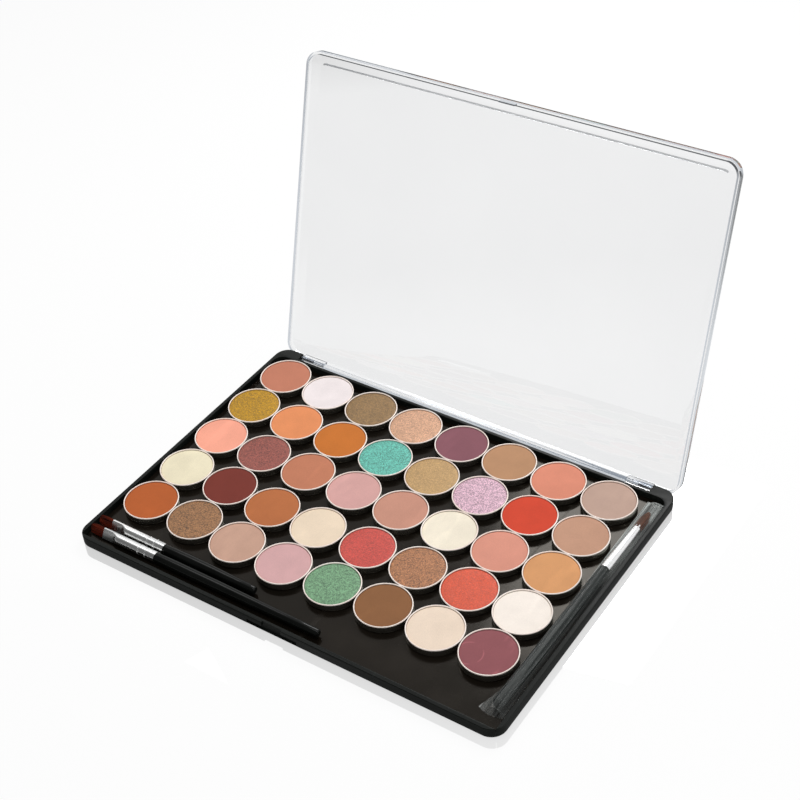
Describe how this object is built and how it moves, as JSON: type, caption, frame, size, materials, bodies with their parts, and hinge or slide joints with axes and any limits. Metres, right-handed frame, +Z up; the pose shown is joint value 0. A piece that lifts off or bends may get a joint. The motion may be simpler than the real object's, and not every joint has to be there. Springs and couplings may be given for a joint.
{
  "type": "magnetic colour-pan palette case",
  "caption": "Flat rectangular palette case: black tray with a magnetic floor, clear hinged lid, a grid of lift-out round powder pans and slim brushes lying beside them.",
  "frame": {"origin": "centre of the tray's flat underside", "axes": "+X along the rows of pans to the right, +Y towards the hinge, +Z up"},
  "size_m": [0.22, 0.204, 0.151],
  "materials": {
    "tray_plastic": "black injection-moulded plastic, semi-gloss",
    "magnet_rubber": "glossy brown-black magnetic sheet",
    "clear_plastic": "clear, polished",
    "pin_steel": "plain steel wire",
    "sleeve_film": "thin clear film",
    "bristle": "red-brown hair",
    "ferrule_metal": "polished, crimped",
    "lacquered_wood": "black gloss lacquer",
    "satin_wood": "dark grey satin lacquer",
    "pan_r1_c1": "thin metal pan filled with a pressed powder cake of this shade",
    "pan_r1_c2": "thin metal pan filled with a pressed powder cake of this shade",
    "pan_r1_c3": "thin metal pan filled with a pressed powder cake of this shade",
    "pan_r1_c4": "thin metal pan filled with a pressed powder cake of this shade",
    "pan_r1_c5": "thin metal pan filled with a pressed powder cake of this shade",
    "pan_r1_c6": "thin metal pan filled with a pressed powder cake of this shade",
    "pan_r1_c7": "thin metal pan filled with a pressed powder cake of this shade",
    "pan_r1_c8": "thin metal pan filled with a pressed powder cake of this shade",
    "pan_r2_c1": "thin metal pan filled with a pressed powder cake of this shade",
    "pan_r2_c2": "thin metal pan filled with a pressed powder cake of this shade",
    "pan_r2_c3": "thin metal pan filled with a pressed powder cake of this shade",
    "pan_r2_c4": "thin metal pan filled with a pressed powder cake of this shade",
    "pan_r2_c5": "thin metal pan filled with a pressed powder cake of this shade",
    "pan_r2_c6": "thin metal pan filled with a pressed powder cake of this shade",
    "pan_r2_c7": "thin metal pan filled with a pressed powder cake of this shade",
    "pan_r2_c8": "thin metal pan filled with a pressed powder cake of this shade",
    "pan_r3_c1": "thin metal pan filled with a pressed powder cake of this shade",
    "pan_r3_c2": "thin metal pan filled with a pressed powder cake of this shade",
    "pan_r3_c3": "thin metal pan filled with a pressed powder cake of this shade",
    "pan_r3_c4": "thin metal pan filled with a pressed powder cake of this shade",
    "pan_r3_c5": "thin metal pan filled with a pressed powder cake of this shade",
    "pan_r3_c6": "thin metal pan filled with a pressed powder cake of this shade",
    "pan_r3_c7": "thin metal pan filled with a pressed powder cake of this shade",
    "pan_r3_c8": "thin metal pan filled with a pressed powder cake of this shade",
    "pan_r4_c1": "thin metal pan filled with a pressed powder cake of this shade",
    "pan_r4_c2": "thin metal pan filled with a pressed powder cake of this shade",
    "pan_r4_c3": "thin metal pan filled with a pressed powder cake of this shade",
    "pan_r4_c4": "thin metal pan filled with a pressed powder cake of this shade",
    "pan_r4_c5": "thin metal pan filled with a pressed powder cake of this shade",
    "pan_r4_c6": "thin metal pan filled with a pressed powder cake of this shade",
    "pan_r4_c7": "thin metal pan filled with a pressed powder cake of this shade",
    "pan_r4_c8": "thin metal pan filled with a pressed powder cake of this shade",
    "pan_r5_c1": "thin metal pan filled with a pressed powder cake of this shade",
    "pan_r5_c2": "thin metal pan filled with a pressed powder cake of this shade",
    "pan_r5_c3": "thin metal pan filled with a pressed powder cake of this shade",
    "pan_r5_c4": "thin metal pan filled with a pressed powder cake of this shade",
    "pan_r5_c5": "thin metal pan filled with a pressed powder cake of this shade",
    "pan_r5_c6": "thin metal pan filled with a pressed powder cake of this shade",
    "pan_r5_c7": "thin metal pan filled with a pressed powder cake of this shade",
    "pan_r5_c8": "thin metal pan filled with a pressed powder cake of this shade"
  },
  "bodies": {
    "case": {"tray": "tray_plastic", "magnet_sheet": "magnet_rubber", "hinge_pin_left": "pin_steel", "hinge_pin_right": "pin_steel"},
    "cover": {"lid": "clear_plastic"},
    "short_brush": {"short_brush_tuft": "bristle", "short_brush_ferrule": "ferrule_metal", "short_brush_handle": "lacquered_wood"},
    "long_brush": {"long_brush_tuft": "bristle", "long_brush_ferrule": "ferrule_metal", "long_brush_handle": "lacquered_wood"},
    "sleeved_brush": {"sleeved_brush_tuft": "bristle", "sleeved_brush_ferrule": "ferrule_metal", "sleeved_brush_handle": "satin_wood", "brush_sleeve": "sleeve_film"},
    "pan_r1_c1": {"pan_r1_c1": "pan_r1_c1"},
    "pan_r1_c2": {"pan_r1_c2": "pan_r1_c2"},
    "pan_r1_c3": {"pan_r1_c3": "pan_r1_c3"},
    "pan_r1_c4": {"pan_r1_c4": "pan_r1_c4"},
    "pan_r1_c5": {"pan_r1_c5": "pan_r1_c5"},
    "pan_r1_c6": {"pan_r1_c6": "pan_r1_c6"},
    "pan_r1_c7": {"pan_r1_c7": "pan_r1_c7"},
    "pan_r1_c8": {"pan_r1_c8": "pan_r1_c8"},
    "pan_r2_c1": {"pan_r2_c1": "pan_r2_c1"},
    "pan_r2_c2": {"pan_r2_c2": "pan_r2_c2"},
    "pan_r2_c3": {"pan_r2_c3": "pan_r2_c3"},
    "pan_r2_c4": {"pan_r2_c4": "pan_r2_c4"},
    "pan_r2_c5": {"pan_r2_c5": "pan_r2_c5"},
    "pan_r2_c6": {"pan_r2_c6": "pan_r2_c6"},
    "pan_r2_c7": {"pan_r2_c7": "pan_r2_c7"},
    "pan_r2_c8": {"pan_r2_c8": "pan_r2_c8"},
    "pan_r3_c1": {"pan_r3_c1": "pan_r3_c1"},
    "pan_r3_c2": {"pan_r3_c2": "pan_r3_c2"},
    "pan_r3_c3": {"pan_r3_c3": "pan_r3_c3"},
    "pan_r3_c4": {"pan_r3_c4": "pan_r3_c4"},
    "pan_r3_c5": {"pan_r3_c5": "pan_r3_c5"},
    "pan_r3_c6": {"pan_r3_c6": "pan_r3_c6"},
    "pan_r3_c7": {"pan_r3_c7": "pan_r3_c7"},
    "pan_r3_c8": {"pan_r3_c8": "pan_r3_c8"},
    "pan_r4_c1": {"pan_r4_c1": "pan_r4_c1"},
    "pan_r4_c2": {"pan_r4_c2": "pan_r4_c2"},
    "pan_r4_c3": {"pan_r4_c3": "pan_r4_c3"},
    "pan_r4_c4": {"pan_r4_c4": "pan_r4_c4"},
    "pan_r4_c5": {"pan_r4_c5": "pan_r4_c5"},
    "pan_r4_c6": {"pan_r4_c6": "pan_r4_c6"},
    "pan_r4_c7": {"pan_r4_c7": "pan_r4_c7"},
    "pan_r4_c8": {"pan_r4_c8": "pan_r4_c8"},
    "pan_r5_c1": {"pan_r5_c1": "pan_r5_c1"},
    "pan_r5_c2": {"pan_r5_c2": "pan_r5_c2"},
    "pan_r5_c3": {"pan_r5_c3": "pan_r5_c3"},
    "pan_r5_c4": {"pan_r5_c4": "pan_r5_c4"},
    "pan_r5_c5": {"pan_r5_c5": "pan_r5_c5"},
    "pan_r5_c6": {"pan_r5_c6": "pan_r5_c6"},
    "pan_r5_c7": {"pan_r5_c7": "pan_r5_c7"},
    "pan_r5_c8": {"pan_r5_c8": "pan_r5_c8"}
  },
  "joints": [
    {"name": "lid_hinge", "type": "hinge", "parent": "case", "child": "cover", "pos_m": [0, 0.0766, 0.00305], "axis": [-1, 0, 0], "range_deg": [-106.45, 0]},
    {"name": "short_brush_lift", "type": "slide", "parent": "case", "child": "short_brush", "axis": [0, 0, 1], "range_m": [0, 0.04]},
    {"name": "long_brush_lift", "type": "slide", "parent": "case", "child": "long_brush", "axis": [0, 0, 1], "range_m": [0, 0.04]},
    {"name": "sleeved_brush_lift", "type": "slide", "parent": "case", "child": "sleeved_brush", "axis": [0, 0, 1], "range_m": [0, 0.04]},
    {"name": "lift_pan_r1_c1", "type": "slide", "parent": "case", "child": "pan_r1_c1", "axis": [0, 0, 1], "range_m": [0, 0.03]},
    {"name": "lift_pan_r1_c2", "type": "slide", "parent": "case", "child": "pan_r1_c2", "axis": [0, 0, 1], "range_m": [0, 0.03]},
    {"name": "lift_pan_r1_c3", "type": "slide", "parent": "case", "child": "pan_r1_c3", "axis": [0, 0, 1], "range_m": [0, 0.03]},
    {"name": "lift_pan_r1_c4", "type": "slide", "parent": "case", "child": "pan_r1_c4", "axis": [0, 0, 1], "range_m": [0, 0.03]},
    {"name": "lift_pan_r1_c5", "type": "slide", "parent": "case", "child": "pan_r1_c5", "axis": [0, 0, 1], "range_m": [0, 0.03]},
    {"name": "lift_pan_r1_c6", "type": "slide", "parent": "case", "child": "pan_r1_c6", "axis": [0, 0, 1], "range_m": [0, 0.03]},
    {"name": "lift_pan_r1_c7", "type": "slide", "parent": "case", "child": "pan_r1_c7", "axis": [0, 0, 1], "range_m": [0, 0.03]},
    {"name": "lift_pan_r1_c8", "type": "slide", "parent": "case", "child": "pan_r1_c8", "axis": [0, 0, 1], "range_m": [0, 0.03]},
    {"name": "lift_pan_r2_c1", "type": "slide", "parent": "case", "child": "pan_r2_c1", "axis": [0, 0, 1], "range_m": [0, 0.03]},
    {"name": "lift_pan_r2_c2", "type": "slide", "parent": "case", "child": "pan_r2_c2", "axis": [0, 0, 1], "range_m": [0, 0.03]},
    {"name": "lift_pan_r2_c3", "type": "slide", "parent": "case", "child": "pan_r2_c3", "axis": [0, 0, 1], "range_m": [0, 0.03]},
    {"name": "lift_pan_r2_c4", "type": "slide", "parent": "case", "child": "pan_r2_c4", "axis": [0, 0, 1], "range_m": [0, 0.03]},
    {"name": "lift_pan_r2_c5", "type": "slide", "parent": "case", "child": "pan_r2_c5", "axis": [0, 0, 1], "range_m": [0, 0.03]},
    {"name": "lift_pan_r2_c6", "type": "slide", "parent": "case", "child": "pan_r2_c6", "axis": [0, 0, 1], "range_m": [0, 0.03]},
    {"name": "lift_pan_r2_c7", "type": "slide", "parent": "case", "child": "pan_r2_c7", "axis": [0, 0, 1], "range_m": [0, 0.03]},
    {"name": "lift_pan_r2_c8", "type": "slide", "parent": "case", "child": "pan_r2_c8", "axis": [0, 0, 1], "range_m": [0, 0.03]},
    {"name": "lift_pan_r3_c1", "type": "slide", "parent": "case", "child": "pan_r3_c1", "axis": [0, 0, 1], "range_m": [0, 0.03]},
    {"name": "lift_pan_r3_c2", "type": "slide", "parent": "case", "child": "pan_r3_c2", "axis": [0, 0, 1], "range_m": [0, 0.03]},
    {"name": "lift_pan_r3_c3", "type": "slide", "parent": "case", "child": "pan_r3_c3", "axis": [0, 0, 1], "range_m": [0, 0.03]},
    {"name": "lift_pan_r3_c4", "type": "slide", "parent": "case", "child": "pan_r3_c4", "axis": [0, 0, 1], "range_m": [0, 0.03]},
    {"name": "lift_pan_r3_c5", "type": "slide", "parent": "case", "child": "pan_r3_c5", "axis": [0, 0, 1], "range_m": [0, 0.03]},
    {"name": "lift_pan_r3_c6", "type": "slide", "parent": "case", "child": "pan_r3_c6", "axis": [0, 0, 1], "range_m": [0, 0.03]},
    {"name": "lift_pan_r3_c7", "type": "slide", "parent": "case", "child": "pan_r3_c7", "axis": [0, 0, 1], "range_m": [0, 0.03]},
    {"name": "lift_pan_r3_c8", "type": "slide", "parent": "case", "child": "pan_r3_c8", "axis": [0, 0, 1], "range_m": [0, 0.03]},
    {"name": "lift_pan_r4_c1", "type": "slide", "parent": "case", "child": "pan_r4_c1", "axis": [0, 0, 1], "range_m": [0, 0.03]},
    {"name": "lift_pan_r4_c2", "type": "slide", "parent": "case", "child": "pan_r4_c2", "axis": [0, 0, 1], "range_m": [0, 0.03]},
    {"name": "lift_pan_r4_c3", "type": "slide", "parent": "case", "child": "pan_r4_c3", "axis": [0, 0, 1], "range_m": [0, 0.03]},
    {"name": "lift_pan_r4_c4", "type": "slide", "parent": "case", "child": "pan_r4_c4", "axis": [0, 0, 1], "range_m": [0, 0.03]},
    {"name": "lift_pan_r4_c5", "type": "slide", "parent": "case", "child": "pan_r4_c5", "axis": [0, 0, 1], "range_m": [0, 0.03]},
    {"name": "lift_pan_r4_c6", "type": "slide", "parent": "case", "child": "pan_r4_c6", "axis": [0, 0, 1], "range_m": [0, 0.03]},
    {"name": "lift_pan_r4_c7", "type": "slide", "parent": "case", "child": "pan_r4_c7", "axis": [0, 0, 1], "range_m": [0, 0.03]},
    {"name": "lift_pan_r4_c8", "type": "slide", "parent": "case", "child": "pan_r4_c8", "axis": [0, 0, 1], "range_m": [0, 0.03]},
    {"name": "lift_pan_r5_c1", "type": "slide", "parent": "case", "child": "pan_r5_c1", "axis": [0, 0, 1], "range_m": [0, 0.03]},
    {"name": "lift_pan_r5_c2", "type": "slide", "parent": "case", "child": "pan_r5_c2", "axis": [0, 0, 1], "range_m": [0, 0.03]},
    {"name": "lift_pan_r5_c3", "type": "slide", "parent": "case", "child": "pan_r5_c3", "axis": [0, 0, 1], "range_m": [0, 0.03]},
    {"name": "lift_pan_r5_c4", "type": "slide", "parent": "case", "child": "pan_r5_c4", "axis": [0, 0, 1], "range_m": [0, 0.03]},
    {"name": "lift_pan_r5_c5", "type": "slide", "parent": "case", "child": "pan_r5_c5", "axis": [0, 0, 1], "range_m": [0, 0.03]},
    {"name": "lift_pan_r5_c6", "type": "slide", "parent": "case", "child": "pan_r5_c6", "axis": [0, 0, 1], "range_m": [0, 0.03]},
    {"name": "lift_pan_r5_c7", "type": "slide", "parent": "case", "child": "pan_r5_c7", "axis": [0, 0, 1], "range_m": [0, 0.03]},
    {"name": "lift_pan_r5_c8", "type": "slide", "parent": "case", "child": "pan_r5_c8", "axis": [0, 0, 1], "range_m": [0, 0.03]}
  ]
}
